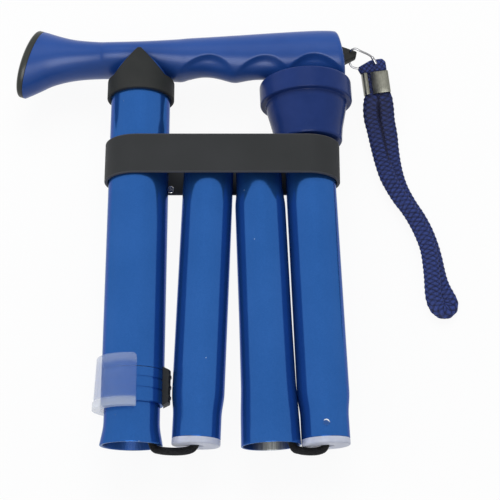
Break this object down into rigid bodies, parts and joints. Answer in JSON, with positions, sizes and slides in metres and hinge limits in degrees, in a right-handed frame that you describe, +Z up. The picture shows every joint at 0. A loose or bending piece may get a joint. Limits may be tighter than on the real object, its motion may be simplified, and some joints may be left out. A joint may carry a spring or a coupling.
{
  "type": "folding cane",
  "caption": "Folded walking cane: T grip with finger grooves and wrist strap, telescoping upper tube with twist lock, folding lower tubes under a band, rubber tip.",
  "frame": {"origin": "middle of the folded cane's footprint, on the floor under the rubber tip's flange, measured without the strap", "axes": "+Y from the fold end up to the grip along the tubes, +X along the grip to its strap end, +Z up from the floor"},
  "size_m": [0.2284, 0.2226, 0.0476],
  "materials": {
    "grip": "satin moulded plastic",
    "black_plastic": "matte",
    "paint": "metallic blue paint on aluminium tube",
    "lock_blue": "moulded blue plastic",
    "tip": "semi-gloss rubber",
    "clip": "frosted translucent",
    "white_plastic": "satin",
    "steel": "plain steel",
    "elastic": "covered elastic cord",
    "band": "matte stretch band",
    "braid": "braided cord",
    "nickel": "bright wire",
    "crimp": "brushed"
  },
  "bodies": {
    "handle_section": {"handle_grip": "grip", "handle_end_cap": "black_plastic", "handle_collar": "black_plastic", "handle_insert": "black_plastic", "handle_pin": "steel", "strap_anchor": "black_plastic", "strap_wire": "nickel", "strap_head": "braid", "strap_crimp": "crimp", "strap_cord": "braid", "upper_tube": "paint", "tube_bushing": "white_plastic"},
    "lock_collar": {"lock_collar": "lock_blue", "lock_wing": "black_plastic"},
    "lock_clip": {"lock_clip": "clip"},
    "inner_section": {"inner_tube": "paint", "inner_guide": "white_plastic", "cord_anchor_1": "steel", "shock_cord_1": "elastic", "cord_bend_12": "elastic", "button_spring": "steel"},
    "button": {"snap_button": "steel"},
    "section_2": {"tube_2": "paint", "plug_2": "white_plastic", "plug_pin_2": "white_plastic", "shock_cord_2": "elastic", "cord_bend_23": "elastic"},
    "section_3": {"tube_3": "paint", "plug_3": "white_plastic", "plug_pin_3": "white_plastic", "shock_cord_3": "elastic", "cord_bend_34": "elastic"},
    "section_4": {"tube_4": "paint", "plug_4": "white_plastic", "plug_pin_4": "white_plastic", "shock_cord_4": "elastic", "cord_anchor_4": "steel", "rubber_tip": "tip", "tip_washer": "steel", "storage_band": "band", "band_rivet": "steel"}
  },
  "joints": [
    {"name": "height_adjust", "type": "slide", "parent": "handle_section", "child": "inner_section", "axis": [0, -1, 0], "range_m": [0, 0.04], "deforming": ["snap_button", "button_spring"]},
    {"name": "button_press", "type": "slide", "parent": "inner_section", "child": "button", "axis": [0, 0, 1], "range_m": [0, 0.0032], "stiffness_N_per_m": 300, "springref_m": -0.003, "deforming": ["button_spring"]},
    {"name": "collar_twist", "type": "hinge", "parent": "handle_section", "child": "lock_collar", "pos_m": [-0.02336, -0.0794, 0.0238], "axis": [0, -1, 0], "range_deg": [0, 40]},
    {"name": "clip_turn", "type": "hinge", "parent": "lock_collar", "child": "lock_clip", "pos_m": [-0.02336, -0.0778, 0.0238], "axis": [0, -1, 0], "range_deg": [0, 30]},
    {"name": "unfold", "type": "hinge", "parent": "inner_section", "child": "section_2", "pos_m": [-0.00791, -0.10694, 0.0238], "axis": [0, 0, -1], "range_deg": [0, 178.05], "deforming": ["storage_band", "band_rivet", "cord_bend_12", "cord_bend_23", "cord_bend_34", "strap_cord", "strap_head", "strap_crimp", "strap_wire"]},
    {"name": "fold_23", "type": "hinge", "parent": "section_2", "child": "section_3", "pos_m": [0.02502, 0.03863, 0.0238], "axis": [0, 0, -1], "range_deg": [-175.75, 0]},
    {"name": "fold_34", "type": "hinge", "parent": "section_3", "child": "section_4", "pos_m": [0.05656, -0.1072, 0.0238], "axis": [0, 0, -1], "range_deg": [0, 180.02]}
  ],
  "couplings": [
    {"joint": "fold_23", "follows": "unfold", "ratio": -0.98697},
    {"joint": "fold_34", "follows": "unfold", "ratio": 1.011}
  ]
}
